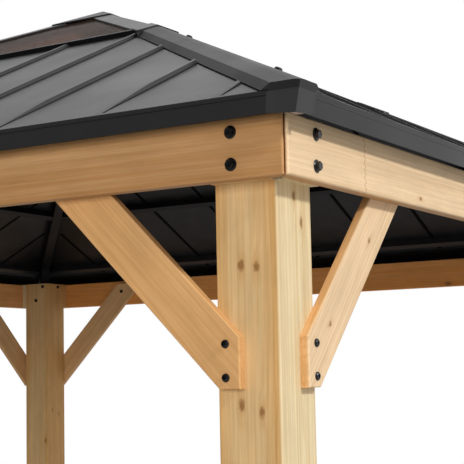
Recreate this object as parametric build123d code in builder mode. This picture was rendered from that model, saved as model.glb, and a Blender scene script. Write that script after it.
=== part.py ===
from build123d import *
from math import cos, radians, sin, sqrt, tan
import os

os.makedirs("parts", exist_ok=True)

# Timber frame, all lengths in mm
post_width = 140.0
post_span = 3220.0
beam_underside = 2000.0
beam_height = 120.0
beam_thickness = 32.0
packer_thickness = 20.0
packer_inset = 2.0
post_ease = 4.5
beam_ease = 4.0
brace_ease = 3.0
beam_mitre_gap = 2.2

# Knee braces, measured in the face of the frame from the outer corner of the post
brace_end_inset = 79.0
brace_foot_width = 47.0
brace_drop = 400.0
brace_width = 104.0
brace_rise = 105.0
brace_toe_rise = 74.0

# Main roof: the eave edge of the sheet and the pitch
eave_overhang = 107.0
eave_rise = 150.6
roof_pitch = 25.6
sheet_thickness = 3.0
sheet_hip_gap = 1.0
rib_pitch = 280.0
rib_count = 12
rib_width = 18.0
rib_height = 9.5
rib_taper = 22.0
rib_clearance = 2.0
rib_foot_ramp = 2.6

# Eave trim
trim_depth = 44.0
trim_gauge = 3.0
trim_flange = 45.0
trim_hem = 14.0
trim_bead_drop = 10.0
trim_bead_radius = 1.2

# Hip caps
hip_top_width = 45.0
hip_foot_width = 58.0
hip_height = 15.5
hip_fold = 3.0
hip_lip = 12.0
hip_lip_gap = 3.5
hip_collar_gap = 4.0
hip_ridge_radius = 40.0

# Corner caps
corner_length = 70.0
corner_head_length = 58.0
corner_thickness = 8.5
corner_drop = 41.0
corner_fall = 6.0

# Skylight tier
sky_half = 740.0
sky_pitch = 24.0
sheet_lap = 50.0
curb_height = 5.0
curb_width = 42.0
curb_web = 4.0
curb_lip = 20.0
pane_thickness = 4.0
pane_clearance = 0.3
pane_tuck = 56.0
bar_half_width = 55.0
bar_gauge = 5.0
bar_clearance = 1.0
bar_tuck = 26.0
collar_clearance = 8.0
collar_foot = 16.0
collar_lap = 2.0
collar_reach = 50.0
collar_half_width = 60.0
collar_gauge = 4.0

# Top cap
cap_half = 126.0
cap_thickness = 4.5

# Steel frame under the sheets
rafter_width = 40.0
rafter_depth = 45.0
rafter_setback = 62.0
rafter_upper_half = 45.0
purlin_size = 30.0
eave_purlin_setback = 125.0
mid_purlin_share = 0.42
seat_length = 60.0

# Derived values
post_half = post_span / 2
post_centre = post_half - post_width / 2
beam_inner = post_half + packer_thickness
beam_outer = beam_inner + beam_thickness
beam_top = beam_underside + beam_height
eave_half = post_half + eave_overhang
eave_level = beam_underside + eave_rise
pitch_sine = sin(radians(roof_pitch))
pitch_cosine = cos(radians(roof_pitch))
pitch_tangent = tan(radians(roof_pitch))
sky_sine = sin(radians(sky_pitch))
sky_cosine = cos(radians(sky_pitch))
sky_level = eave_level + pitch_tangent * (eave_half - sky_half)
sheet_upper_half = sky_half - sheet_lap
pane_upper_half = cap_half - pane_tuck
bar_upper_half = cap_half - bar_tuck
collar_foot_half = sky_half + collar_clearance
collar_lower_half = collar_foot_half + collar_foot
collar_upper_half = sky_half - collar_reach
hip_upper_half = collar_lower_half + hip_collar_gap
rafter_lower_half = eave_half - rafter_setback
eave_purlin_half = eave_half - eave_purlin_setback
mid_purlin_half = sky_half + mid_purlin_share * (eave_half - sky_half)
sheet_slope = (eave_half - sheet_upper_half) / pitch_cosine
sky_slope = sky_half / sky_cosine
pane_seat = curb_height + pane_thickness
bar_top = pane_seat + bar_gauge

# Working planes of the front slope, and the vertical planes through the two hips beside it
front_slope = Plane(origin=(0, -eave_half, eave_level), x_dir=(1, 0, 0), z_dir=(0, -pitch_sine, pitch_cosine))
front_sky = Plane(origin=(0, -sky_half, sky_level), x_dir=(1, 0, 0), z_dir=(0, -sky_sine, sky_cosine))
right_slope = Plane(origin=(eave_half, 0, eave_level), x_dir=(0, 1, 0), z_dir=(pitch_sine, 0, pitch_cosine))
right_sky = Plane(origin=(sky_half, 0, sky_level), x_dir=(0, 1, 0), z_dir=(sky_sine, 0, sky_cosine))
hip_right = Plane(origin=(0, 0, 0), x_dir=(1, -1, 0), z_dir=(1, 1, 0))
hip_left = Plane(origin=(0, 0, 0), x_dir=(1, 1, 0), z_dir=(-1, 1, 0))
diagonal = Plane(origin=(0, 0, 0), x_dir=(1, -1, 0), z_dir=(-1, -1, 0))

# Quarter turns: each side with the names of its two ends, and each corner
sides = [("front", 0, "left", "right"), ("right", 90, "front", "back")]
sides += [("back", 180, "right", "left"), ("left", 270, "back", "front")]
corners = [("front_right", 0), ("back_right", 90), ("back_left", 180), ("front_left", 270)]

# Corner post with eased edges, standing on the ground
with BuildPart() as post:
    with BuildSketch(Plane.XY):
        with Locations((post_centre, -post_centre)):
            Rectangle(post_width, post_width)
    extrude(amount=beam_top)
    fillet(post.edges().filter_by(Axis.Z), post_ease)

# Packers between the post and the beams, one on each outer face of the post
with BuildPart() as packers:
    with BuildSketch(Plane.XZ.offset(post_half)):
        with Locations((post_centre, beam_underside + beam_height / 2)):
            Rectangle(post_width - 2 * packer_inset, beam_height)
    extrude(amount=packer_thickness)
    mirror(about=hip_right)

# Tie beam along the front, mitred at both ends
with BuildPart() as beam:
    with BuildSketch(Plane.XY.offset(beam_underside)):
        with BuildLine():
            Polyline(
                (-beam_outer + beam_mitre_gap, -beam_outer),
                (beam_outer - beam_mitre_gap, -beam_outer),
                (beam_inner - beam_mitre_gap, -beam_inner),
                (-beam_inner + beam_mitre_gap, -beam_inner),
                close=True,
            )
        make_face()
    extrude(amount=beam_height)
    long_edges = beam.edges().filter_by(Axis.X)
    corner_edges = beam.edges().filter_by(Axis.Z).group_by(Axis.Y)[0]
    fillet(long_edges + corner_edges, beam_ease)

# Knee brace at the right end of the front: square cut at the post, level cuts at foot and head
brace_reach = brace_drop + brace_end_inset + brace_foot_width
brace_inner_reach = brace_reach - brace_width * sqrt(2)
with BuildPart() as brace:
    with BuildSketch(Plane.XZ.offset(post_half)):
        with BuildLine():
            Polyline(
                (post_half - brace_end_inset, beam_underside - brace_drop),
                (post_half - brace_end_inset - brace_foot_width, beam_underside - brace_drop),
                (post_half - brace_reach - brace_toe_rise, beam_underside + brace_toe_rise),
                (post_half - brace_reach - brace_toe_rise, beam_underside + brace_rise),
                (post_half - brace_inner_reach - brace_rise, beam_underside + brace_rise),
                (post_half - brace_end_inset, beam_underside - brace_inner_reach + brace_end_inset),
                close=True,
            )
        make_face()
    extrude(amount=packer_thickness)
    fillet(brace.faces().sort_by(Axis.Y)[0].edges(), brace_ease)

# Standing ribs of the front slope, ramped down at the eave, stopped at the hip caps and at the curb
ramp_sine = sin(radians(roof_pitch + rib_foot_ramp))
ramp_cosine = cos(radians(roof_pitch + rib_foot_ramp))
rib_ramp = Plane(origin=(0, -eave_half, eave_level), x_dir=(1, 0, 0), z_dir=(0, -ramp_sine, ramp_cosine))
rib_length = (eave_half - sky_half) / pitch_cosine - rib_clearance
with BuildPart() as ribs:
    with BuildSketch(front_slope):
        with Locations((0, rib_length / 2)):
            with GridLocations(rib_pitch, 0, rib_count, 1):
                Rectangle(rib_width, rib_length)
    extrude(amount=rib_height, taper=rib_taper)
    split(bisect_by=rib_ramp, keep=Keep.BOTTOM)
    split(bisect_by=hip_right.offset(-hip_foot_width - rib_clearance), keep=Keep.BOTTOM)
    split(bisect_by=hip_left.offset(-hip_foot_width - rib_clearance), keep=Keep.BOTTOM)

# Roof sheet of the front slope: a trapezoid with its ribs, cut back along both hips
with BuildPart() as sheet:
    with BuildSketch(front_slope):
        with BuildLine():
            Polyline(
                (-eave_half, 0),
                (eave_half, 0),
                (sheet_upper_half, sheet_slope),
                (-sheet_upper_half, sheet_slope),
                close=True,
            )
        make_face()
    extrude(amount=-sheet_thickness)
    split(bisect_by=hip_right.offset(-sheet_hip_gap), keep=Keep.BOTTOM)
    split(bisect_by=hip_left.offset(-sheet_hip_gap), keep=Keep.BOTTOM)
    add(ribs.part)

# Eave trim: a face square to the slope, a flange under the sheet, a hem at the foot and a rolled bead
trim_section = Plane(
    origin=(0, -eave_half, eave_level), x_dir=(0, -pitch_cosine, -pitch_sine), z_dir=(-1, 0, 0)
)
with BuildPart() as trim:
    with BuildSketch(trim_section):
        with BuildLine():
            Polyline(
                (0, 0),
                (trim_gauge, 0),
                (trim_gauge, -trim_depth),
                (-trim_hem, -trim_depth),
                (-trim_hem, -trim_depth + trim_gauge),
                (0, -trim_depth + trim_gauge),
                (0, -sheet_thickness - trim_gauge),
                (-trim_flange, -sheet_thickness - trim_gauge),
                (-trim_flange, -sheet_thickness),
                (0, -sheet_thickness),
                close=True,
            )
        make_face()
        with Locations((trim_gauge, -trim_bead_drop)):
            Circle(trim_bead_radius)
    extrude(amount=eave_half + trim_depth, both=True)
    split(bisect_by=hip_right.offset(-sheet_hip_gap), keep=Keep.BOTTOM)
    split(bisect_by=hip_left.offset(-sheet_hip_gap), keep=Keep.BOTTOM)

# Hip cap: a folded chevron section run down the hip, its two lips held clear of the roof sheets, cut
# off square to both eaves, flush with the corner cap
hip_fall = pitch_tangent / sqrt(2)
hip_lift = hip_height / pitch_cosine
hip_level = eave_level + pitch_tangent * (eave_half - hip_upper_half)
hip_section = Plane(
    origin=(hip_upper_half, -hip_upper_half, hip_level), x_dir=(1, 1, 0), z_dir=(1, -1, 0)
)
hip_run = (eave_half - hip_upper_half + trim_depth) * sqrt(2 + pitch_tangent ** 2)
front_eave_cut = Plane(
    origin=(0, -eave_half, eave_level), x_dir=(1, 0, 0), z_dir=(0, pitch_cosine, pitch_sine)
)
hip_seat = hip_foot_width - hip_lip
corner_back = trim_gauge + trim_bead_radius + pane_clearance
hip_axis = Axis((0, 0, 0), (1, -1, -pitch_tangent))
with BuildPart() as hip_cap:
    with BuildSketch(hip_section):
        with BuildLine():
            Polyline(
                (0, 0),
                (hip_seat, -hip_seat * hip_fall),
                (hip_seat, hip_lip_gap - hip_seat * hip_fall),
                (hip_foot_width, hip_lip_gap - hip_foot_width * hip_fall),
                (hip_top_width, hip_lift - hip_top_width * hip_fall),
                (0, hip_lift),
                (-hip_top_width, hip_lift - hip_top_width * hip_fall),
                (-hip_foot_width, hip_lip_gap - hip_foot_width * hip_fall),
                (-hip_seat, hip_lip_gap - hip_seat * hip_fall),
                (-hip_seat, -hip_seat * hip_fall),
                close=True,
            )
        make_face()
    extrude(amount=hip_run, dir=hip_axis.direction)
    fillet(hip_cap.edges().filter_by(hip_axis).sort_by(Axis.Z)[-3:-1], hip_fold)
    fillet(hip_cap.edges().filter_by(hip_axis).sort_by(Axis.Z)[-1], hip_ridge_radius)
    split(bisect_by=front_eave_cut.offset(-corner_back - corner_thickness), keep=Keep.TOP)
    split(bisect_by=hip_right, keep=Keep.BOTTOM)
    mirror(about=hip_right)

# Corner caps: a cap that folds round the corner over both trims, below the end of the hip cap
front_face = Plane(
    origin=(0, -eave_half, eave_level), x_dir=(1, 0, 0), z_dir=(0, -pitch_cosine, -pitch_sine)
)
with BuildPart() as corner_cap:
    with BuildSketch(front_face.offset(corner_back)):
        with BuildLine():
            Polyline(
                (eave_half - corner_length, -corner_drop),
                (eave_half, -corner_drop - corner_fall),
                (eave_half + corner_length, -corner_drop - corner_fall),
                (eave_half + corner_length, -pane_clearance),
                (eave_half - corner_head_length, -pane_clearance),
                close=True,
            )
        make_face()
    extrude(amount=corner_thickness)
    split(bisect_by=hip_right, keep=Keep.BOTTOM)
    mirror(about=hip_right)

# Skylight curb: a channel that holds the lower edge of a pane, bedded on the roof sheet
sky_section = Plane(origin=(0, -sky_half, sky_level), x_dir=(0, -sky_cosine, -sky_sine), z_dir=(-1, 0, 0))
with BuildPart() as curb:
    with BuildSketch(sky_section):
        with BuildLine():
            Polyline(
                (0, -curb_height),
                (0, bar_top),
                (-curb_lip, bar_top),
                (-curb_lip, pane_seat + pane_clearance),
                (-curb_web, pane_seat + pane_clearance),
                (-curb_web, curb_height),
                (-curb_width, curb_height),
                (-curb_width, -curb_height),
                close=True,
            )
        make_face()
    extrude(amount=sky_half + curb_width, both=True)
    split(bisect_by=front_slope, keep=Keep.TOP)
    split(bisect_by=hip_right.offset(-sheet_hip_gap), keep=Keep.BOTTOM)
    split(bisect_by=hip_left.offset(-sheet_hip_gap), keep=Keep.BOTTOM)

# Skylight pane of the front, a trapezoid that stops under the top cap
pane_foot = curb_web + pane_clearance
pane_slope = (sky_half - pane_upper_half) / sky_cosine
with BuildPart() as pane:
    with BuildSketch(front_sky.offset(curb_height)):
        with BuildLine():
            Polyline(
                (-sky_half, pane_foot),
                (sky_half, pane_foot),
                (sky_half, pane_slope),
                (-sky_half, pane_slope),
                close=True,
            )
        make_face()
    extrude(amount=pane_thickness)
    split(bisect_by=hip_right.offset(-sheet_hip_gap), keep=Keep.BOTTOM)
    split(bisect_by=hip_left.offset(-sheet_hip_gap), keep=Keep.BOTTOM)

# Skylight bar: a thin chevron over the joint of two panes
sky_tangent = tan(radians(sky_pitch))
sky_fall = sky_tangent / sqrt(2)
bar_level = sky_level + sky_tangent * (sky_half - bar_upper_half)
bar_section = Plane(origin=(bar_upper_half, -bar_upper_half, bar_level), x_dir=(1, 1, 0), z_dir=(1, -1, 0))
sky_step = sqrt(2 + sky_tangent ** 2)
front_sky_cut = Plane(origin=(0, -sky_half, sky_level), x_dir=(1, 0, 0), z_dir=(0, sky_cosine, sky_sine))
right_sky_cut = Plane(origin=(sky_half, 0, sky_level), x_dir=(0, 1, 0), z_dir=(-sky_cosine, 0, sky_sine))
with BuildPart() as bar:
    with BuildSketch(bar_section):
        with BuildLine():
            Polyline(
                (0, pane_seat / sky_cosine),
                (bar_half_width, pane_seat / sky_cosine - bar_half_width * sky_fall),
                (bar_half_width, bar_top / sky_cosine - bar_half_width * sky_fall),
                (0, bar_top / sky_cosine),
                (-bar_half_width, bar_top / sky_cosine - bar_half_width * sky_fall),
                (-bar_half_width, pane_seat / sky_cosine - bar_half_width * sky_fall),
                close=True,
            )
        make_face()
    extrude(amount=(sky_half - bar_upper_half) * sky_step, dir=(1, -1, -sky_tangent))
    split(bisect_by=front_sky_cut.offset(curb_lip + bar_clearance), keep=Keep.TOP)
    split(bisect_by=right_sky_cut.offset(curb_lip + bar_clearance), keep=Keep.TOP)

# Hip collar: a saddle over the lower end of the bar, with a foot on the roof sheets
collar_top = bar_top + collar_gauge
saddle_level = sky_level + sky_tangent * (sky_half - collar_upper_half)
saddle_section = Plane(
    origin=(collar_upper_half, -collar_upper_half, saddle_level), x_dir=(1, 1, 0), z_dir=(1, -1, 0)
)
foot_level = eave_level + pitch_tangent * (eave_half - collar_foot_half)
foot_section = Plane(
    origin=(collar_foot_half, -collar_foot_half, foot_level), x_dir=(1, 1, 0), z_dir=(1, -1, 0)
)
foot_top = bar_top + collar_lap
with BuildPart() as collar:
    with BuildSketch(saddle_section):
        with BuildLine():
            Polyline(
                (0, bar_top / sky_cosine),
                (collar_half_width, bar_top / sky_cosine - collar_half_width * sky_fall),
                (collar_half_width, collar_top / sky_cosine - collar_half_width * sky_fall),
                (0, collar_top / sky_cosine),
                (-collar_half_width, collar_top / sky_cosine - collar_half_width * sky_fall),
                (-collar_half_width, bar_top / sky_cosine - collar_half_width * sky_fall),
                close=True,
            )
        make_face()
    extrude(amount=(collar_lower_half - collar_upper_half) * sky_step, dir=(1, -1, -sky_tangent))
    with BuildSketch(foot_section):
        with BuildLine():
            Polyline(
                (0, 0),
                (collar_half_width, -collar_half_width * hip_fall),
                (collar_half_width, foot_top - collar_half_width * hip_fall),
                (0, foot_top),
                (-collar_half_width, foot_top - collar_half_width * hip_fall),
                (-collar_half_width, -collar_half_width * hip_fall),
                close=True,
            )
        make_face()
    foot_run = (collar_lower_half - collar_foot_half) * sqrt(2 + pitch_tangent ** 2)
    extrude(amount=foot_run, dir=(1, -1, -pitch_tangent))

# One quarter of the top cap, laid on the bars
cap_slope = (sky_half - cap_half) / sky_cosine
with BuildPart() as cap_quarter:
    with BuildSketch(front_sky.offset(bar_top)):
        with BuildLine():
            Polyline(
                (-sky_half, cap_slope),
                (sky_half, cap_slope),
                (sky_half, sky_slope + cap_half),
                (-sky_half, sky_slope + cap_half),
                close=True,
            )
        make_face()
    extrude(amount=cap_thickness)
    split(bisect_by=hip_right, keep=Keep.BOTTOM)
    split(bisect_by=hip_left, keep=Keep.BOTTOM)

# Hip rafter: a tube on edge, its top backed to both roof slopes and both skylight slopes
rafter_drop = rafter_depth + sheet_thickness / pitch_cosine
rafter_low = eave_level + pitch_tangent * (eave_half - rafter_lower_half)
rafter_high = eave_level + pitch_tangent * (eave_half - rafter_upper_half)
with BuildPart() as rafter:
    with BuildSketch(diagonal):
        with BuildLine():
            Polyline(
                (rafter_lower_half * sqrt(2), rafter_low - rafter_drop),
                (rafter_lower_half * sqrt(2), rafter_low),
                (rafter_upper_half * sqrt(2), rafter_high),
                (rafter_upper_half * sqrt(2), rafter_high - rafter_drop),
                close=True,
            )
        make_face()
    extrude(amount=rafter_width / 2, both=True)
    split(bisect_by=front_slope.offset(-sheet_thickness), keep=Keep.BOTTOM)
    split(bisect_by=right_slope.offset(-sheet_thickness), keep=Keep.BOTTOM)
    split(bisect_by=front_sky.offset(curb_height), keep=Keep.BOTTOM)
    split(bisect_by=right_sky.offset(curb_height), keep=Keep.BOTTOM)

# Rafter seat on the top of the post, its upper face following the rafter
seat_inner = post_centre - seat_length / 2
seat_outer = post_centre + seat_length / 2
seat_inner_level = eave_level + pitch_tangent * (eave_half - seat_inner) - rafter_drop
seat_outer_level = eave_level + pitch_tangent * (eave_half - seat_outer) - rafter_drop
with BuildPart() as seat:
    with BuildSketch(diagonal):
        with BuildLine():
            Polyline(
                (seat_inner * sqrt(2), beam_top),
                (seat_outer * sqrt(2), beam_top),
                (seat_outer * sqrt(2), seat_outer_level),
                (seat_inner * sqrt(2), seat_inner_level),
                close=True,
            )
        make_face()
    extrude(amount=rafter_width / 2, both=True)

# Purlins of the front slope, tight under the sheet and butted against the rafters
with BuildPart() as eave_purlin:
    with BuildSketch(front_slope.offset(-sheet_thickness)):
        with Locations((0, (eave_half - eave_purlin_half) / pitch_cosine)):
            Rectangle(2 * eave_half, purlin_size)
    extrude(amount=-purlin_size)
    split(bisect_by=hip_right.offset(-rafter_width / 2), keep=Keep.BOTTOM)
    split(bisect_by=hip_left.offset(-rafter_width / 2), keep=Keep.BOTTOM)

with BuildPart() as mid_purlin:
    with BuildSketch(front_slope.offset(-sheet_thickness)):
        with Locations((0, (eave_half - mid_purlin_half) / pitch_cosine)):
            Rectangle(2 * eave_half, purlin_size)
    extrude(amount=-purlin_size)
    split(bisect_by=hip_right.offset(-rafter_width / 2), keep=Keep.BOTTOM)
    split(bisect_by=hip_left.offset(-rafter_width / 2), keep=Keep.BOTTOM)

# Pieces of each side, turned into place
for side, turn, low_end, high_end in sides:
    with BuildPart() as side_beam:
        add(beam.part, rotation=(0, 0, turn))
    side_beam.part.label = "beam_" + side
    export_step(side_beam.part, "parts/beam_" + side + ".step")

    with BuildPart() as high_brace:
        add(brace.part, rotation=(0, 0, turn))
    high_brace.part.label = "brace_" + side + "_" + high_end
    export_step(high_brace.part, "parts/brace_" + side + "_" + high_end + ".step")

    with BuildPart() as front_low_brace:
        mirror(brace.part, about=Plane.YZ)
    with BuildPart() as low_brace:
        add(front_low_brace.part, rotation=(0, 0, turn))
    low_brace.part.label = "brace_" + side + "_" + low_end
    export_step(low_brace.part, "parts/brace_" + side + "_" + low_end + ".step")

    with BuildPart() as side_sheet:
        add(sheet.part, rotation=(0, 0, turn))
    side_sheet.part.label = "roof_sheet_" + side
    export_step(side_sheet.part, "parts/roof_sheet_" + side + ".step")

    with BuildPart() as side_trim:
        add(trim.part, rotation=(0, 0, turn))
    side_trim.part.label = "eave_trim_" + side
    export_step(side_trim.part, "parts/eave_trim_" + side + ".step")

    with BuildPart() as side_pane:
        add(pane.part, rotation=(0, 0, turn))
    side_pane.part.label = "skylight_pane_" + side
    export_step(side_pane.part, "parts/skylight_pane_" + side + ".step")

# Pieces of each corner
for corner, turn in corners:
    with BuildPart() as corner_post:
        add(post.part, rotation=(0, 0, turn))
    corner_post.part.label = "post_" + corner
    export_step(corner_post.part, "parts/post_" + corner + ".step")

    with BuildPart() as corner_packers:
        add(packers.part, rotation=(0, 0, turn))
    corner_packers.part.label = "packers_" + corner
    export_step(corner_packers.part, "parts/packers_" + corner + ".step")

    with BuildPart() as corner_hip_cap:
        add(hip_cap.part, rotation=(0, 0, turn))
    corner_hip_cap.part.label = "hip_cap_" + corner
    export_step(corner_hip_cap.part, "parts/hip_cap_" + corner + ".step")

# Like pieces of all four sides or corners, kept together
with BuildPart() as hip_rafters:
    for corner, turn in corners:
        add(rafter.part, rotation=(0, 0, turn))
hip_rafters.part.label = "hip_rafters"
export_step(hip_rafters.part, "parts/hip_rafters.step")

with BuildPart() as rafter_seats:
    for corner, turn in corners:
        add(seat.part, rotation=(0, 0, turn))
rafter_seats.part.label = "rafter_seats"
export_step(rafter_seats.part, "parts/rafter_seats.step")

with BuildPart() as eave_purlins:
    for side, turn, low_end, high_end in sides:
        add(eave_purlin.part, rotation=(0, 0, turn))
eave_purlins.part.label = "eave_purlins"
export_step(eave_purlins.part, "parts/eave_purlins.step")

with BuildPart() as mid_purlins:
    for side, turn, low_end, high_end in sides:
        add(mid_purlin.part, rotation=(0, 0, turn))
mid_purlins.part.label = "mid_purlins"
export_step(mid_purlins.part, "parts/mid_purlins.step")

with BuildPart() as corner_caps:
    for corner, turn in corners:
        add(corner_cap.part, rotation=(0, 0, turn))
corner_caps.part.label = "corner_caps"
export_step(corner_caps.part, "parts/corner_caps.step")

with BuildPart() as skylight_curb:
    for side, turn, low_end, high_end in sides:
        add(curb.part, rotation=(0, 0, turn))
skylight_curb.part.label = "skylight_curb"
export_step(skylight_curb.part, "parts/skylight_curb.step")

with BuildPart() as skylight_bars:
    for corner, turn in corners:
        add(bar.part, rotation=(0, 0, turn))
skylight_bars.part.label = "skylight_bars"
export_step(skylight_bars.part, "parts/skylight_bars.step")

with BuildPart() as hip_collars:
    for corner, turn in corners:
        add(collar.part, rotation=(0, 0, turn))
hip_collars.part.label = "hip_collars"
export_step(hip_collars.part, "parts/hip_collars.step")

with BuildPart() as top_cap:
    for side, turn, low_end, high_end in sides:
        add(cap_quarter.part, rotation=(0, 0, turn))
top_cap.part.label = "top_cap"
export_step(top_cap.part, "parts/top_cap.step")
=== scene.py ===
import math

import bmesh
import bpy
from mathutils import Matrix, Vector


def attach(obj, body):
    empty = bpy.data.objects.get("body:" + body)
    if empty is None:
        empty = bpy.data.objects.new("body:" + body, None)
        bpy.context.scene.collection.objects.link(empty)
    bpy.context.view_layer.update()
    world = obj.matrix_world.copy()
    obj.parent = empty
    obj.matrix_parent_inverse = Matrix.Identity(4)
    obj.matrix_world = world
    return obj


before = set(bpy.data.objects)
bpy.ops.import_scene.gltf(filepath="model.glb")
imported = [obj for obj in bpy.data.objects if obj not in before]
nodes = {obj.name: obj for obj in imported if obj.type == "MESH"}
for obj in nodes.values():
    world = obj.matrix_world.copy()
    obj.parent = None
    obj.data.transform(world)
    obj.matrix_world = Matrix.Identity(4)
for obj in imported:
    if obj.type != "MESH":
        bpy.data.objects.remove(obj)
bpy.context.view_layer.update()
scene = bpy.context.scene

# Places on the gazebo, in metres
SIDE_TURNS = {"front": 0, "right": 90, "back": 180, "left": 270}
CORNERS = ("front_right", "back_right", "back_left", "front_left")
POST_CENTRE = 1.540
POST_FACE = 1.610
POST_BACK = 1.470
BEAM_FACE = 1.662
BEAM_BACK = 1.630
BRACE_FACE = 1.630
BRACE_BACK = 1.610
BRACE_LEAN = math.radians(43.8)
EAVE_HALF = 1.717
EAVE_LEVEL = 2.1506
ROOF_PITCH = math.radians(25.6)
SKY_HALF = 0.740
RIB_COUNT = 12
RIB_PITCH = 0.280
RIB_HALF = 0.0098
RIB_PLACES = [(n - (RIB_COUNT - 1) / 2) * RIB_PITCH for n in range(RIB_COUNT)]
UNDER_LAPS = (-1.245, -0.94, -0.61, -0.305, 0.0, 0.305, 0.61, 0.94, 1.245)
BEAM_JOINTS = {"right": -1.324}
JOINT_TOOTH = 0.008
JOINT_HALF = (0.0022, 0.0006)

# Bolts, nuts and screws: distances along a side and heights, in metres
BEAM_BOLT_HEIGHTS = (2.029, 2.092)
BRACE_BOLT_ALONG = 1.500
BRACE_BOLT_HEIGHTS = (1.622, 1.687)
BRACE_TOP_ALONG = 1.101
BRACE_TOP_HEIGHT = 2.067
POST_NUTS = {-1: ((1.557, 2.105),), 1: ((1.541, 2.035), (1.496, 2.104))}
HIP_SCREWS = (0.980, 1.572)
HIP_SCREW_OFF = 0.025
HIP_HEIGHT = 0.0155

# Timber tones, as linear colours. The tints darken what they lie on
HEARTWOOD = (0.660, 0.385, 0.145, 1)
# The sap tones also serve as painted light, laid over the outer faces across X
SAPWOOD = (0.735, 0.600, 0.370, 1)
BOARD_SAP = (0.760, 0.560, 0.350, 1)
# Darker heartwood of the front and right beams: partly the boards' own tone, partly painted shade under
# the eave
BEAM_SHADED_HEART = (0.470, 0.245, 0.095, 1)
# Redder, brighter heartwood of the back and left beams: painted shade warmed by light bounced inside the
# roof
INNER_BOUNCE_SHADE_HEART = (0.790, 0.330, 0.088, 1)
BRACE_HEART = (0.670, 0.375, 0.152, 1)
KNOT_BROWN = (0.27, 0.125, 0.040, 1)
LATEWOOD_TINT = (0.88, 0.77, 0.62, 1)
LINE_TINT = (0.82, 0.70, 0.54, 1)
HALO_TINT = (0.78, 0.60, 0.40, 1)
JOINT_TINT = (0.55, 0.38, 0.22, 1)
TIMBER_SHEEN = 0.22
BAND_EDGE_SAP = 0.02

# Steel and sheet finishes. The roof's tops have a clear coat over the duller sheen of their backs
CHARCOAL = (0.018, 0.0182, 0.0186, 1)
TRIM_BLACK = (0.0045, 0.0045, 0.0047, 1)
# Near-black of the frame's paint, and painted shade on the roof sheets' down-facing backs
FRAME_AND_SHADE_BLACK = (0.0058, 0.0060, 0.0066, 1)
SEAM_BLACK = (0.002, 0.002, 0.0022, 1)
BOLT_BLACK = (0.004, 0.004, 0.0042, 1)
DUST_GREY = (0.20, 0.19, 0.175, 1)
SMOKED_BROWN = (0.28, 0.185, 0.145, 1)
DOWNWARD = (-0.2, -0.5)
BACK_SHEEN = 0.24
TOP_COAT = 0.30
COAT_SKIN = 0.0003
PANE_CLEARNESS = 0.92
PANE_IOR = 1.006


def put(tree, kind, feeds=None, **settings):
    """Adds a node, with its settings, and feeds its inputs from values or sockets."""
    node = tree.nodes.new(kind)
    for key, value in settings.items():
        setattr(node, key, value)
    for key, value in (feeds or {}).items():
        if isinstance(value, bpy.types.NodeSocket):
            tree.links.new(value, node.inputs[key])
        else:
            node.inputs[key].default_value = value
    return node


def reckon(tree, operation, *values, clamp=False):
    """One step of arithmetic on values or sockets."""
    node = put(tree, "ShaderNodeMath", dict(enumerate(values)), operation=operation, use_clamp=clamp)
    return node.outputs[0]


def weigh(tree, start, *parts):
    """A starting value plus parts, each times its weight."""
    total = start
    for value, weight in parts:
        total = reckon(tree, "MULTIPLY_ADD", value, weight, total)
    return total


def ease(tree, value, low, high, to_low=0.0, to_high=1.0):
    """A smooth step of a value from one range to another."""
    feeds = {"Value": value, "From Min": low, "From Max": high, "To Min": to_low, "To Max": to_high}
    node = put(tree, "ShaderNodeMapRange", feeds, interpolation_type="SMOOTHSTEP")
    return node.outputs["Result"]


def tint(tree, share, first, second, mode="MIX"):
    """Mixes two colours by a share."""
    node = put(tree, "ShaderNodeMix", {0: share, 6: first, 7: second}, data_type="RGBA", blend_type=mode)
    return node.outputs[2]


def darken(tree, colour, shade):
    """A colour times one value."""
    grey = put(tree, "ShaderNodeCombineColor", {0: shade, 1: shade, 2: shade}).outputs[0]
    return tint(tree, 1.0, colour, grey, "MULTIPLY")


def stretch(tree, vector, factors):
    """A vector with its axes scaled one by one."""
    return put(tree, "ShaderNodeVectorMath", {0: vector, 1: factors}, operation="MULTIPLY").outputs[0]


def reach(tree, vector):
    """The length of a vector."""
    return put(tree, "ShaderNodeVectorMath", {0: vector}, operation="LENGTH").outputs["Value"]


def split(tree, vector):
    """The three axes of a vector."""
    return put(tree, "ShaderNodeSeparateXYZ", {0: vector}).outputs


def mottle(tree, vector, cells, detail=2.0, roughness=0.5):
    """Noise with a number of cells to the metre along each axis."""
    spread = stretch(tree, vector, cells)
    feeds = {"Vector": spread, "Scale": 1.0, "Detail": detail, "Roughness": roughness}
    return put(tree, "ShaderNodeTexNoise", feeds).outputs["Fac"]


def waver(tree, vector, cells):
    """Noise that swings about zero."""
    return reckon(tree, "SUBTRACT", mottle(tree, vector, cells), 0.5)


def new_group(name, takes, gives):
    """An empty node group with named sockets, and its inner input and output sockets."""
    tree = bpy.data.node_groups.new(name, "ShaderNodeTree")
    for label, kind, value in takes:
        socket = tree.interface.new_socket(label, in_out="INPUT", socket_type="NodeSocket" + kind)
        socket.default_value = value
    for label, kind in gives:
        tree.interface.new_socket(label, in_out="OUTPUT", socket_type="NodeSocket" + kind)
    return tree, tree.nodes.new("NodeGroupInput").outputs, tree.nodes.new("NodeGroupOutput").inputs


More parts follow.
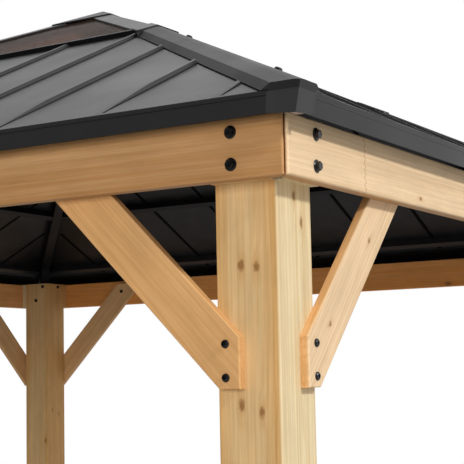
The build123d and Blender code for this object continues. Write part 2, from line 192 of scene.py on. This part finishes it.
def make_knot_group():
    """A knot: a ragged dark core, and the push that it gives to the growth rings round it."""
    core_oval, core_edge, core_ragged = (1, 1, 0.62), (1.25, 0.40), 1.3
    push_oval, push_edge = (1, 1, 0.3), (2.6, 0.3)
    takes = [("Grain", "Vector", (0, 0, 0)), ("Centre", "Vector", (0, 0, 0)), ("Size", "Float", 0.01)]
    tree, given, out = new_group("timber_knot", takes, [("Core", "Float"), ("Push", "Float")])
    away = put(tree, "ShaderNodeVectorMath", {0: given["Grain"], 1: given["Centre"]}, operation="SUBTRACT")
    core = reckon(tree, "DIVIDE", reach(tree, stretch(tree, away.outputs[0], core_oval)), given["Size"])
    core = weigh(tree, core, (waver(tree, given["Grain"], (160, 160, 120)), core_ragged))
    tree.links.new(ease(tree, core, *core_edge), out["Core"])
    push = reckon(tree, "DIVIDE", reach(tree, stretch(tree, away.outputs[0], push_oval)), given["Size"])
    tree.links.new(ease(tree, push, *push_edge), out["Push"])
    return tree


def make_timber_group():
    """Sawn softwood with its grain along Z: growth rings round a pith, streaks, fibres and knots."""
    ring_sway, ring_ripple, ring_push = 0.05, 0.005, 0.005
    late_rise, late_fall = (0.25, 0.9), (1.0, 0.92)
    bold_from, line_from = (0.32, 0.72), (0.40, 0.66)
    halo_depth, knot_depth, joint_depth = 0.45, 0.85, 0.75
    takes = [
        ("Grain", "Vector", (0, 0, 0)),
        ("Heart Colour", "Color", HEARTWOOD),
        ("Sap Colour", "Color", SAPWOOD),
        ("Sap Share", "Float", 0.0),
        ("Pith X", "Float", 0.0),
        ("Pith Y", "Float", 0.0),
        ("Ring Width", "Float", 0.007),
        ("Figure", "Float", 1.0),
        ("Lines", "Float", 0.5),
        ("Knot Core", "Float", 0.0),
        ("Knot Push", "Float", 0.0),
        ("Joint", "Float", 0.0),
    ]
    gives = [("Colour", "Color"), ("Roughness", "Float"), ("Height", "Float")]
    tree, given, out = new_group("timber_figure", takes, gives)
    grain, push = given["Grain"], given["Knot Push"]

    axes = split(tree, grain)
    over = reckon(tree, "SUBTRACT", reckon(tree, "ABSOLUTE", axes["X"]), given["Pith X"])
    up = reckon(tree, "SUBTRACT", reckon(tree, "ABSOLUTE", axes["Y"]), given["Pith Y"])
    squares = reckon(tree, "ADD", reckon(tree, "POWER", over, 2.0), reckon(tree, "POWER", up, 2.0))
    sway = waver(tree, grain, (6, 6, 0.8))
    ripple = waver(tree, grain, (38, 38, 3))
    radius = reckon(tree, "SQRT", squares)
    radius = weigh(tree, radius, (sway, ring_sway), (ripple, ring_ripple), (push, ring_push))
    phase = reckon(tree, "FRACT", reckon(tree, "DIVIDE", radius, given["Ring Width"]))
    late = reckon(tree, "MULTIPLY", ease(tree, phase, *late_rise), ease(tree, phase, *late_fall))
    bold = ease(tree, mottle(tree, grain, (9, 9, 0.7)), *bold_from)
    late = reckon(tree, "MULTIPLY", late, weigh(tree, 0.25, (bold, 0.75)))
    late = reckon(tree, "MULTIPLY", late, given["Figure"])

    streak = mottle(tree, grain, (70, 70, 0.9), 3.0, 0.6)
    line = ease(tree, mottle(tree, grain, (170, 170, 1.3), 2.0, 0.6), *line_from)
    fibre = mottle(tree, grain, (240, 240, 5), 3.0, 0.7)
    blotch = mottle(tree, grain, (20, 20, 7), 3.0, 0.6)
    board = mottle(tree, grain, (3.5, 3.5, 0.5), 1.0)
    share = weigh(tree, reckon(tree, "SUBTRACT", given["Sap Share"], 0.5), (streak, 0.5), (board, 0.5))
    share = reckon(tree, "ADD", share, 0.0, clamp=True)
    shade = weigh(tree, 0.40, (streak, 0.20), (fibre, 0.42), (board, 0.26), (blotch, 0.36))

    colour = tint(tree, share, given["Heart Colour"], given["Sap Colour"])
    colour = tint(tree, late, colour, LATEWOOD_TINT, "MULTIPLY")
    colour = darken(tree, colour, shade)
    colour = tint(tree, reckon(tree, "MULTIPLY", line, given["Lines"]), colour, LINE_TINT, "MULTIPLY")
    halo = reckon(tree, "MULTIPLY", reckon(tree, "POWER", push, 2.0), halo_depth)
    colour = tint(tree, halo, colour, HALO_TINT, "MULTIPLY")
    colour = tint(tree, reckon(tree, "MULTIPLY", given["Knot Core"], knot_depth), colour, KNOT_BROWN)
    joint = reckon(tree, "MULTIPLY", given["Joint"], joint_depth)
    colour = tint(tree, joint, colour, JOINT_TINT, "MULTIPLY")
    tree.links.new(colour, out["Colour"])
    tree.links.new(weigh(tree, 0.52, (fibre, 0.16), (late, -0.10)), out["Roughness"])
    tree.links.new(weigh(tree, 0.0, (late, 0.5), (fibre, 0.5)), out["Height"])
    return tree


def make_coat_group():
    """Baked paint on steel: a fine pebbled skin, faint cloudiness and a little settled dust."""
    takes = [
        ("Surface", "Vector", (0, 0, 0)),
        ("Paint", "Color", CHARCOAL),
        ("Gloss Loss", "Float", 0.4),
        ("Dust", "Float", 0.1),
    ]
    gives = [("Colour", "Color"), ("Roughness", "Float"), ("Height", "Float")]
    tree, given, out = new_group("baked_coat", takes, gives)
    dust_from = (0.16, 0.42)
    pebble = mottle(tree, given["Surface"], (700, 700, 700))
    cloud = mottle(tree, given["Surface"], (3.0, 3.0, 3.0), 4.0, 0.6)
    streak = mottle(tree, given["Surface"], (16, 16, 3), 3.0)
    dusty = ease(tree, reckon(tree, "MULTIPLY", cloud, streak), *dust_from)
    dusty = reckon(tree, "MULTIPLY", dusty, given["Dust"])
    shade = weigh(tree, 0.70, (cloud, 0.30), (pebble, 0.30))
    colour = darken(tree, given["Paint"], shade)
    tree.links.new(tint(tree, dusty, colour, DUST_GREY), out["Colour"])
    rough = weigh(tree, given["Gloss Loss"], (reckon(tree, "SUBTRACT", cloud, 0.5), 0.22), (dusty, 0.5))
    tree.links.new(reckon(tree, "ADD", rough, 0.0, clamp=True), out["Roughness"])
    tree.links.new(pebble, out["Height"])
    return tree


knot_group = make_knot_group()
timber_group = make_timber_group()
coat_group = make_coat_group()


def new_material(name):
    """A material with one shader, ready for its pattern nodes."""
    material = bpy.data.materials.new(name)
    material.use_nodes = True
    tree = material.node_tree
    shader = tree.nodes["Principled BSDF"]
    place = put(tree, "ShaderNodeTexCoord").outputs["Object"]
    return material, tree, shader, place


def dress_shader(tree, shader, pattern, bump_strength, bump_depth):
    """Leads a pattern's colour, roughness and height to the shader."""
    tree.links.new(pattern.outputs["Colour"], shader.inputs["Base Color"])
    tree.links.new(pattern.outputs["Roughness"], shader.inputs["Roughness"])
    feeds = {"Strength": bump_strength, "Distance": bump_depth, "Height": pattern.outputs["Height"]}
    bump = put(tree, "ShaderNodeBump", feeds)
    tree.links.new(bump.outputs["Normal"], shader.inputs["Normal"])


def knot_marks(tree, grain, turn, knots):
    """The cores and pushes of a board's knots, whose centres are given in the gazebo's frame."""
    spin = Matrix.Rotation(turn[1], 3, "Y") @ Matrix.Rotation(turn[0], 3, "X")
    core, push = 0.0, 0.0
    for centre, size in knots:
        feeds = {"Grain": grain, "Centre": spin @ Vector(centre), "Size": size}
        knot = put(tree, "ShaderNodeGroup", feeds, node_tree=knot_group).outputs
        core = reckon(tree, "MAXIMUM", core, knot["Core"])
        push = reckon(tree, "ADD", push, knot["Push"])
    return core, push


def pale_face(tree, place, sap, face, band):
    """A sap share that rises to all sap past a level across X, painting those outer faces pale as painted
    light, and may fade away from a band's middle, darker towards its edges.
    """
    across = reckon(tree, "ABSOLUTE", split(tree, place)["X"])
    share = sap
    if band is not None:
        middle, near, far = band
        off = reckon(tree, "ABSOLUTE", reckon(tree, "SUBTRACT", across, middle))
        share = ease(tree, off, near, far, sap, BAND_EDGE_SAP)
    return ease(tree, across, face[0], face[1], share, 1.0)


def finger_joint(tree, grain, along):
    """The thin toothed line where two lengths of a board are glued."""
    axes = split(tree, grain)
    teeth = reckon(tree, "PINGPONG", axes["Y"], JOINT_TOOTH)
    off = reckon(tree, "SUBTRACT", reckon(tree, "SUBTRACT", axes["Z"], teeth), along)
    return ease(tree, reckon(tree, "ABSOLUTE", off), *JOINT_HALF)


def timber(name, turn, pith, heart, pale, sap, figure, ring, lines, knots=(), painted_light_face=None, sap_band=None,
           joint=None):
    """Oiled softwood whose grain runs along the turned Z axis."""
    material, tree, shader, place = new_material(name)
    grain = put(tree, "ShaderNodeMapping", {"Vector": place, "Rotation": turn}).outputs["Vector"]
    core, push = knot_marks(tree, grain, turn, knots)
    feeds = {
        "Grain": grain,
        "Heart Colour": heart,
        "Sap Colour": pale,
        "Sap Share": sap if painted_light_face is None else pale_face(tree, place, sap, painted_light_face, sap_band),
        "Pith X": pith[0],
        "Pith Y": pith[1],
        "Ring Width": ring,
        "Figure": figure,
        "Lines": lines,
        "Knot Core": core,
        "Knot Push": push,
        "Joint": 0.0 if joint is None else finger_joint(tree, grain, joint),
    }
    pattern = put(tree, "ShaderNodeGroup", feeds, node_tree=timber_group)
    dress_shader(tree, shader, pattern, bump_strength=0.25, bump_depth=0.0008)
    shader.inputs["Specular IOR Level"].default_value = TIMBER_SHEEN
    return material


def coated_steel(name, paint, gloss_loss, dust, underside_shade=None, bump_strength=0.12, sheen=0.5):
    """Painted steel. With an underside shade colour, its down-facing back is painted that darker colour as
    painted shade, and its top has a clear coat.
    """
    material, tree, shader, place = new_material(name)
    feeds = {"Surface": place, "Paint": paint, "Gloss Loss": gloss_loss, "Dust": dust}
    if underside_shade is not None:
        facing = put(tree, "ShaderNodeNewGeometry").outputs["True Normal"]
        # Down-facing faces are painted darker: painted shade under the roof
        below = ease(tree, split(tree, facing)["Z"], *DOWNWARD)
        feeds["Paint"] = tint(tree, below, paint, underside_shade)
        tree.links.new(weigh(tree, TOP_COAT, (below, -TOP_COAT)), shader.inputs["Coat Weight"])
        shader.inputs["Coat Roughness"].default_value = gloss_loss
    pattern = put(tree, "ShaderNodeGroup", feeds, node_tree=coat_group)
    dress_shader(tree, shader, pattern, bump_strength, bump_depth=COAT_SKIN)
    shader.inputs["Specular IOR Level"].default_value = sheen
    return material


def smoked_sheet(name):
    """Brown see-through plastic sheet with faint haze and settled dust."""
    material, tree, shader, place = new_material(name)
    feeds = {"Surface": place, "Paint": SMOKED_BROWN, "Gloss Loss": 0.10, "Dust": 0.05}
    pattern = put(tree, "ShaderNodeGroup", feeds, node_tree=coat_group)
    dress_shader(tree, shader, pattern, bump_strength=0.03, bump_depth=COAT_SKIN)
    shader.inputs["Transmission Weight"].default_value = PANE_CLEARNESS
    shader.inputs["IOR"].default_value = PANE_IOR
    return material


def dress_nodes(names, material):
    """Gives one material to the named nodes."""
    for name in names:
        nodes[name].data.materials[0] = material


# Posts and packers. Their outer faces across X are painted pale sapwood, painted light as the side lamp
# gives the right-hand faces. Each knot has a centre and a size
UPRIGHT = (0, 0, 0)
post_knots = [
    ((1.527, -POST_FACE, 1.839), 0.0075),
    ((1.561, -POST_FACE, 1.835), 0.0075),
    ((1.523, -POST_FACE, 1.568), 0.0075),
    ((1.567, -POST_FACE, 1.555), 0.0065),
    ((POST_FACE, -1.541, 1.975), 0.007),
    ((POST_FACE, -1.513, 1.925), 0.007),
    ((1.545, -POST_FACE, 0.92), 0.008),
    ((POST_FACE, -1.56, 0.48), 0.009),
    ((POST_BACK, -1.53, 1.22), 0.008),
    ((-1.53, -POST_FACE, 1.31), 0.009),
    ((-POST_FACE, -1.55, 0.74), 0.008),
    ((-1.56, -POST_FACE, 0.35), 0.007),
    ((POST_FACE, 1.53, 1.42), 0.009),
    ((1.55, POST_FACE, 0.83), 0.009),
    ((1.53, POST_BACK, 1.12), 0.007),
    ((-1.482, POST_BACK, 1.322), 0.007),
    ((-POST_BACK, 1.510, 1.476), 0.005),
    ((-POST_BACK, 1.53, 0.72), 0.009),
    ((-POST_FACE, 1.56, 1.58), 0.008),
    ((-POST_BACK, 1.562, 1.453), 0.0045),
    ((-1.53, POST_FACE, 0.95), 0.010),
]
post_finish = timber("post_timber", UPRIGHT, pith=(1.505, 1.50), heart=HEARTWOOD, pale=SAPWOOD, sap=0.40,
                     figure=0.5, ring=0.006, lines=0.42, knots=post_knots, painted_light_face=(1.603, 1.6095),
                     sap_band=(1.536, 0.034, 0.068))
dress_nodes([f"post_{corner}" for corner in CORNERS], post_finish)
dress_nodes([f"packers_{corner}" for corner in CORNERS], post_finish)

# Tie beams: one board a side, the right-hand one painted pale on its face as painted light from the side
# lamp
ALONG_X = (0, -math.pi / 2, 0)
ALONG_Y = (math.pi / 2, 0, 0)
beam_knots = {
    "front": [((-0.62, -BEAM_FACE, 2.075), 0.009), ((0.34, -BEAM_FACE, 2.04), 0.007),
              ((-1.2, -BEAM_FACE, 2.03), 0.008)],
    "right": [((BEAM_FACE, -1.029, 2.019), 0.005), ((BEAM_FACE, 0.41, 2.07), 0.009),
              ((BEAM_FACE, 1.12, 2.03), 0.008)],
    "back": [((0.654, BEAM_BACK, 2.012), 0.010), ((-0.35, BEAM_FACE, 2.08), 0.009),
             ((0.95, BEAM_FACE, 2.05), 0.007)],
    "left": [((-BEAM_FACE, -0.5, 2.04), 0.009), ((-BEAM_BACK, 0.66, 2.07), 0.008),
             ((-BEAM_FACE, 1.22, 2.09), 0.006)],
}
beam_sap = {"front": 0.06, "right": 0.12, "back": 0.05, "left": 0.10}
# Heartwood by side: the front and right partly painted shade under the eave, the back and left painted
# warm bounce shade
beam_shaded_heart = {"front": BEAM_SHADED_HEART, "right": BEAM_SHADED_HEART, "back": INNER_BOUNCE_SHADE_HEART, "left": INNER_BOUNCE_SHADE_HEART}
# The right-hand beam's outer face is painted pale: painted light from the side lamp
beam_painted_light_face = {"right": (1.652, 1.6605)}
for side in SIDE_TURNS:
    crosswise = side in ("front", "back")
    board = timber(f"beam_timber_{side}", ALONG_X if crosswise else ALONG_Y,
                   pith=(1.93, 1.585) if crosswise else (1.585, 1.93), heart=beam_shaded_heart[side],
                   pale=BOARD_SAP, sap=beam_sap[side], figure=0.45, ring=0.009, lines=0.22,
                   knots=beam_knots[side], painted_light_face=beam_painted_light_face.get(side), joint=BEAM_JOINTS.get(side))
    dress_nodes([f"beam_{side}"], board)

# Knee braces: grain along the lean
brace_knots = {
    "right_front": [((BRACE_FACE, -1.437, 1.726), 0.005), ((BRACE_FACE, -1.244, 1.908), 0.005)],
    "front_left": [((-1.30, -BRACE_FACE, 1.86), 0.008)],
    "back_right": [((1.27, BRACE_FACE, 1.90), 0.008)],
    "left_back": [((-BRACE_FACE, 1.36, 1.80), 0.007)],
}
brace_sap = {"front_right": 0.05, "right_front": 0.05, "right_back": 0.15, "front_left": 0.1}
BRACE_SAP_ELSEWHERE = 0.2
# The right-hand braces' outer faces are painted pale: painted light from the side lamp
brace_painted_light_face = {"right_front": (1.622, 1.629), "right_back": (1.622, 1.629)}
for side in SIDE_TURNS:
    crosswise = side in ("front", "back")
    for end in ("left", "right") if crosswise else ("front", "back"):
        key = f"{side}_{end}"
        lean = BRACE_LEAN if end in ("right", "front") else -BRACE_LEAN
        board = timber(f"brace_timber_{key}", (0, lean, 0) if crosswise else (lean, 0, 0),
                       pith=(0.35, 1.60) if crosswise else (1.60, 0.35), heart=BRACE_HEART,
                       pale=BOARD_SAP, sap=brace_sap.get(key, BRACE_SAP_ELSEWHERE), figure=0.45,
                       ring=0.010, lines=0.25, knots=brace_knots.get(key, ()),
                       painted_light_face=brace_painted_light_face.get(key))
        dress_nodes([f"brace_{key}"], board)

# Steel pieces and panes
sheet_finish = coated_steel("roof_steel", CHARCOAL, gloss_loss=0.40, dust=0.05, underside_shade=FRAME_AND_SHADE_BLACK,
                            sheen=BACK_SHEEN)
trim_finish = coated_steel("trim_steel", TRIM_BLACK, gloss_loss=0.36, dust=0.01)
hip_finish = coated_steel("hip_steel", TRIM_BLACK, gloss_loss=0.44, dust=0.03, sheen=0.42)
frame_finish = coated_steel("frame_steel", FRAME_AND_SHADE_BLACK, gloss_loss=0.45, dust=0.01, sheen=0.2)
satin_finish = coated_steel("satin_steel", CHARCOAL, gloss_loss=0.40, dust=0.03)
seam_finish = coated_steel("seam_steel", SEAM_BLACK, gloss_loss=0.75, dust=0.0, sheen=0.06)
bolt_finish = coated_steel("bolt_steel", BOLT_BLACK, gloss_loss=0.30, dust=0.0, bump_strength=0.2)
pane_finish = smoked_sheet("tinted_sheet")
dress_nodes([f"roof_sheet_{side}" for side in SIDE_TURNS], sheet_finish)
dress_nodes([f"eave_trim_{side}" for side in SIDE_TURNS], trim_finish)
dress_nodes([f"skylight_pane_{side}" for side in SIDE_TURNS], pane_finish)
dress_nodes([f"hip_cap_{corner}" for corner in CORNERS], hip_finish)
dress_nodes(["skylight_bars", "hip_collars"], trim_finish)
dress_nodes(["corner_caps", "top_cap", "eave_purlins"], satin_finish)
dress_nodes(["hip_rafters", "rafter_seats", "mid_purlins", "skylight_curb"], frame_finish)

# Profiles of the heads, as radius and height in millimetres
MM = 0.001
FLANGE = [(13.2, -0.5), (13.2, 1.4), (11.6, 2.6), (9.4, 3.2)]
HEXAGON = [(9.6, 2.4), (9.6, 8.4), (8.6, 9.6), (6.2, 9.6), (5.4, 9.1)]
BUTTON = [(8.6, -0.5), (8.6, 1.4), (8.0, 3.0), (6.6, 4.3), (4.6, 5.1), (3.4, 5.3), (3.3, 2.6)]
WASHER = [(8.4, -0.5), (8.4, 1.2), (7.9, 1.6), (6.0, 1.6)]
NUT = [(7.4, 1.4), (7.4, 6.0), (6.5, 6.9), (4.2, 6.9)]
SHANK = [(3.9, 6.5), (3.9, 9.4), (3.1, 10.2)]


def turn_shape(mesh, profile, sides):
    """Adds a turned shape: rings of vertices joined into walls, with both ends closed."""
    rings = []
    for radius, height in profile:
        wide, high = radius * MM, height * MM
        angles = [2 * math.pi * step / sides for step in range(sides)]
        rings.append([mesh.verts.new((wide * math.cos(a), wide * math.sin(a), high)) for a in angles])
    for low, high in zip(rings, rings[1:]):
        for step in range(sides):
            after = (step + 1) % sides
            mesh.faces.new((low[step], low[after], high[after], high[step]))
    mesh.faces.new(list(reversed(rings[0])))
    mesh.faces.new(rings[-1])


def head_object(name, *shapes):
    """A head made of turned shapes, each a profile with a number of sides."""
    mesh = bmesh.new()
    for profile, sides in shapes:
        turn_shape(mesh, profile, sides)
    bmesh.ops.recalc_face_normals(mesh, faces=mesh.faces)
    data = bpy.data.meshes.new(name)
    mesh.to_mesh(data)
    mesh.free()
    return bpy.data.objects.new(name, data)


flange_head = head_object("flange_head", (FLANGE, 24), (HEXAGON, 6))
button_head = head_object("button_head", (BUTTON, 18))
nut_head = head_object("nut_head", (WASHER, 20), (NUT, 6), (SHANK, 12))


def new_growth(name, takes, gives):
    """An empty geometry tree with named sockets, and its inner input and output sockets."""
    tree = bpy.data.node_groups.new(name, "GeometryNodeTree")
    for label, kind in takes:
        tree.interface.new_socket(label, in_out="INPUT", socket_type="NodeSocket" + kind)
    tree.interface.new_socket(gives, in_out="OUTPUT", socket_type="NodeSocketGeometry")
    return tree, tree.nodes.new("NodeGroupInput").outputs, tree.nodes.new("NodeGroupOutput").inputs


def end_growth(tree, made, finish_socket, out):
    """Makes the instances real, sets their material and leads them out."""
    real = put(tree, "GeometryNodeRealizeInstances", {"Geometry": made.outputs[0]})
    feeds = {"Geometry": real.outputs[0], "Material": finish_socket}
    tree.links.new(put(tree, "GeometryNodeSetMaterial", feeds).outputs[0], out)


def make_bolting_tree():
    """Sets a head on each seat point, facing along the seat's aim and turned by a fixed seed."""
    takes = [("Seats", "Geometry"), ("Head", "Object"), ("Size", "Float"), ("Finish", "Material"),
             ("Seed", "Int")]
    tree, given, out = new_growth("bolting", takes, "Bolts")
    head = put(tree, "GeometryNodeObjectInfo", {"Object": given["Head"]})
    aim = put(tree, "GeometryNodeInputNamedAttribute", {"Name": "aim"}, data_type="FLOAT_VECTOR")
    face = put(tree, "FunctionNodeAlignRotationToVector", {"Vector": aim.outputs["Attribute"]}, axis="Z")
    chance = put(tree, "FunctionNodeRandomValue", {"Seed": given["Seed"]}, data_type="FLOAT")
    least, most = [socket for socket in chance.inputs if socket.enabled and socket.type == "VALUE"][:2]
    least.default_value = 0.0
    most.default_value = 2 * math.pi
    turned = next(socket for socket in chance.outputs if socket.enabled)
    about = put(tree, "FunctionNodeAxisAngleToRotation", {"Axis": (0, 0, 1), "Angle": turned})
    facing = put(tree, "FunctionNodeRotateRotation", {0: face.outputs[0], 1: about.outputs[0]},
                 rotation_space="LOCAL")
    feeds = {"Points": given["Seats"], "Instance": head.outputs["Geometry"], "Rotation": facing.outputs[0],
             "Scale": given["Size"]}
    seated = put(tree, "GeometryNodeInstanceOnPoints", feeds)
    end_growth(tree, seated, given["Finish"], out["Bolts"])
    return tree


def make_seaming_tree():
    """Runs a flat strip along each line, lying level across it."""
    takes = [("Lines", "Geometry"), ("Width", "Float"), ("Depth", "Float"), ("Finish", "Material")]
    tree, given, out = new_growth("seaming", takes, "Seams")
    run = put(tree, "GeometryNodeMeshToCurve", {"Mesh": given["Lines"]})
    run = put(tree, "GeometryNodeSetCurveNormal", {"Curve": run.outputs[0]}, mode="Z_UP")
    section = put(tree, "GeometryNodeCurvePrimitiveQuadrilateral",
                  {"Width": given["Width"], "Height": given["Depth"]})
    feeds = {"Curve": run.outputs[0], "Profile Curve": section.outputs[0], "Fill Caps": True}
    swept = put(tree, "GeometryNodeCurveToMesh", feeds)
    end_growth(tree, swept, given["Finish"], out["Seams"])
    return tree


bolting_tree = make_bolting_tree()
seaming_tree = make_seaming_tree()


def node_input(tree, label):
    """The identifier of a tree's named input."""
    return next(i.identifier for i in tree.interface.items_tree if i.name == label and i.in_out == "INPUT")


def grow(name, points, edges, aims, tree, settings):
    """Runs a geometry tree over seat points or lines and keeps the result as a plain mesh piece."""
    seats = bpy.data.meshes.new(name + "_seats")
    seats.from_pydata(points, edges, [])
    if aims:
        facing = seats.attributes.new("aim", "FLOAT_VECTOR", "POINT")
        facing.data.foreach_set("vector", [c for a in aims for c in a])
    carrier = bpy.data.objects.new(name + "_carrier", seats)
    scene.collection.objects.link(carrier)
    modifier = carrier.modifiers.new("grow", "NODES")
    modifier.node_group = tree
    for label, value in settings.items():
        modifier[node_input(tree, label)] = value
    bpy.context.view_layer.update()
    graph = bpy.context.evaluated_depsgraph_get()
    made = bpy.data.meshes.new_from_object(carrier.evaluated_get(graph), depsgraph=graph)
    carrier.modifiers.remove(modifier)
    bpy.data.objects.remove(carrier)
    bpy.data.meshes.remove(seats)
    made.name = name
    piece = bpy.data.objects.new(name, made)
    scene.collection.objects.link(piece)
    return piece


def around(vectors):
    """Repeats front-side points or aims on all four sides."""
    spins = [Matrix.Rotation(math.radians(turn), 3, "Z") for turn in SIDE_TURNS.values()]
    return [tuple(spin @ Vector(v)) for spin in spins for v in vectors]


def bolts(name, seats, aim, head, seed):
    """One set of like bolts on all four sides."""
    settings = {"Head": head, "Size": 1.0, "Finish": bolt_finish, "Seed": seed}
    piece = grow(name, around(seats), [], around([aim] * len(seats)), bolting_tree, settings)
    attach(piece, "root")


def hip_seat(along):
    """The seat of a hip cap screw, beside the front right hip on its right-hand slope."""
    shift = HIP_SCREW_OFF / math.sqrt(2)
    out = along + shift
    rise = math.tan(ROOF_PITCH) * (EAVE_HALF - out)
    return (out, shift - along, EAVE_LEVEL + rise + HIP_HEIGHT / math.cos(ROOF_PITCH))


ENDS = (-1, 1)
OUTWARD = (0, -1, 0)
INWARD = (0, 1, 0)
OFF_SLOPE = (math.sin(ROOF_PITCH), 0, math.cos(ROOF_PITCH))
beam_seats = [(end * POST_CENTRE, -BEAM_FACE, z) for end in ENDS for z in BEAM_BOLT_HEIGHTS]
brace_seats = [(end * BRACE_BOLT_ALONG, -BRACE_FACE, z) for end in ENDS for z in BRACE_BOLT_HEIGHTS]
brace_top_seats = [(end * BRACE_TOP_ALONG, -BRACE_BACK, BRACE_TOP_HEIGHT) for end in ENDS]
post_nut_seats = [(end * along, -POST_BACK, z) for end in ENDS for along, z in POST_NUTS[end]]
hip_seats = [hip_seat(along) for along in HIP_SCREWS]
bolts("beam_bolts", beam_seats, OUTWARD, flange_head, seed=3)
bolts("brace_bolts", brace_seats, OUTWARD, button_head, seed=5)
bolts("brace_top_bolts", brace_top_seats, INWARD, button_head, seed=8)
bolts("post_nuts", post_nut_seats, INWARD, nut_head, seed=13)
bolts("hip_screws", hip_seats, OFF_SLOPE, button_head, seed=21)


def slope_point(across, inward, rise):
    """A point of the front slope, by its place across, its level distance from the eave and its rise."""
    return (across, inward - EAVE_HALF - rise * math.sin(ROOF_PITCH),
            EAVE_LEVEL + inward * math.tan(ROOF_PITCH) + rise * math.cos(ROOF_PITCH))


def slope_runs(places, start, sky_gap, hip_gap, shift=0.0):
    """Lines up a slope, from near the eave to a gap below the skylight or the hip."""
    return [(x + shift, start, EAVE_HALF - max(SKY_HALF + sky_gap, abs(x) + hip_gap)) for x in places]


def seams(name, runs, rise, width, depth):
    """Strips up all four roof slopes, each from one level distance in from the eave to another."""
    ends = [slope_point(across, inward, rise) for across, low, high in runs for inward in (low, high)]
    places = around(ends)
    edges = [(i, i + 1) for i in range(0, len(places), 2)]
    settings = {"Width": width, "Depth": depth, "Finish": seam_finish}
    piece = grow(name, places, edges, [], seaming_tree, settings)
    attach(piece, "root")


lap_runs = slope_runs(UNDER_LAPS, start=0.055, sky_gap=0.02, hip_gap=0.06)
rib_runs = slope_runs(RIB_PLACES, start=0.012, sky_gap=0.03, hip_gap=0.085, shift=RIB_HALF)
seams("under_laps", lap_runs, rise=-0.0036, width=0.015, depth=0.0022)
seams("rib_seams", rib_runs, rise=0.0004, width=0.0022, depth=0.0010)

# Camera at the photograph's place
YAW, PITCH, ROLL = 0.543756956, 0.109751386, -0.0201663192
EYE = (2.83184381, -3.79937215, 1.62354689)
ahead = Vector((-math.sin(YAW) * math.cos(PITCH), math.cos(YAW) * math.cos(PITCH), math.sin(PITCH)))
level = Vector((math.cos(YAW), math.sin(YAW), 0))
upward = level.cross(ahead)
rightward = math.cos(ROLL) * level + math.sin(ROLL) * upward
topward = -math.sin(ROLL) * level + math.cos(ROLL) * upward
lens = bpy.data.cameras.new("camera")
lens.sensor_width = 36.0
lens.lens = 102.078
lens.clip_end = 100.0
camera = bpy.data.objects.new("camera", lens)
scene.collection.objects.link(camera)
pose = Matrix((rightward, topward, -ahead)).transposed().to_4x4()
pose.translation = EYE
camera.matrix_world = pose
scene.camera = camera


def softbox(name, place, aim, size, watts, mirrored):
    """A square studio light that faces a point. One that isn't mirrored leaves no highlight."""
    lamp = bpy.data.lights.new(name, "AREA")
    lamp.shape = "SQUARE"
    lamp.size = size
    lamp.energy = watts
    holder = bpy.data.objects.new(name, lamp)
    scene.collection.objects.link(holder)
    holder.location = place
    holder.rotation_euler = (Vector(aim) - Vector(place)).to_track_quat("-Z", "Y").to_euler()
    holder.visible_glossy = mirrored
    holder.visible_camera = False


softbox("side_softbox", place=(12.4, -3.0, 9.0), aim=(1.5, -1.0, 1.9), size=1.2, watts=1090,
        mirrored=True)
softbox("front_softbox", place=(4.5, -19.0, 4.6), aim=(0.2, -0.5, 1.5), size=9.0, watts=2060,
        mirrored=False)

# Backdrop: white to look at and through, and for gloss and fill bright on one side only
BRIGHT_SIDE = (0.35, 0.75, 0.56)
GLOW_TURN = (0.06, 0.66)
GLOW_RANGE = (0.08, 0.96)
FILL_LOSS = 0.4
world = bpy.data.worlds.new("studio")
scene.world = world
world.use_nodes = True
sky = world.node_tree
backdrop = sky.nodes["Background"]
heading = put(sky, "ShaderNodeTexCoord").outputs["Generated"]
sideways = put(sky, "ShaderNodeVectorMath", {0: heading, 1: BRIGHT_SIDE}, operation="DOT_PRODUCT")
glow = ease(sky, sideways.outputs["Value"], *GLOW_TURN, *GLOW_RANGE)
rays = put(sky, "ShaderNodeLightPath").outputs
glow = reckon(sky, "MULTIPLY", glow, weigh(sky, 1.0, (rays["Is Diffuse Ray"], -FILL_LOSS)))
seen = reckon(sky, "MAXIMUM", rays["Is Camera Ray"], rays["Is Transmission Ray"])
sky.links.new(reckon(sky, "MAXIMUM", seen, glow), backdrop.inputs["Strength"])
backdrop.inputs["Color"].default_value = (1, 1, 1, 1)

# Floor
FLOOR_RADIUS = 9.0
FLOOR_PALE = ((0.86, 0.86, 0.86, 1), (0.90, 0.90, 0.90, 1))
FLOOR_BOUNCE = (0.62, 0.62, 0.62, 1)
disc = bmesh.new()
bmesh.ops.create_circle(disc, cap_ends=True, segments=96, radius=FLOOR_RADIUS)
floor_data = bpy.data.meshes.new("floor")
disc.to_mesh(floor_data)
disc.free()
floor = bpy.data.objects.new("floor", floor_data)
scene.collection.objects.link(floor)
floor_paint, floor_tree, floor_shader, floor_place = new_material("floor_paint")
floor_grit = tint(floor_tree, mottle(floor_tree, floor_place, (30, 30, 30)), *FLOOR_PALE)
viewed = put(floor_tree, "ShaderNodeLightPath").outputs["Is Camera Ray"]
floor_colour = tint(floor_tree, viewed, FLOOR_BOUNCE, floor_grit)
floor_tree.links.new(floor_colour, floor_shader.inputs["Base Color"])
floor_shader.inputs["Roughness"].default_value = 0.9
floor_data.materials.append(floor_paint)

scene.view_settings.view_transform = "Standard"
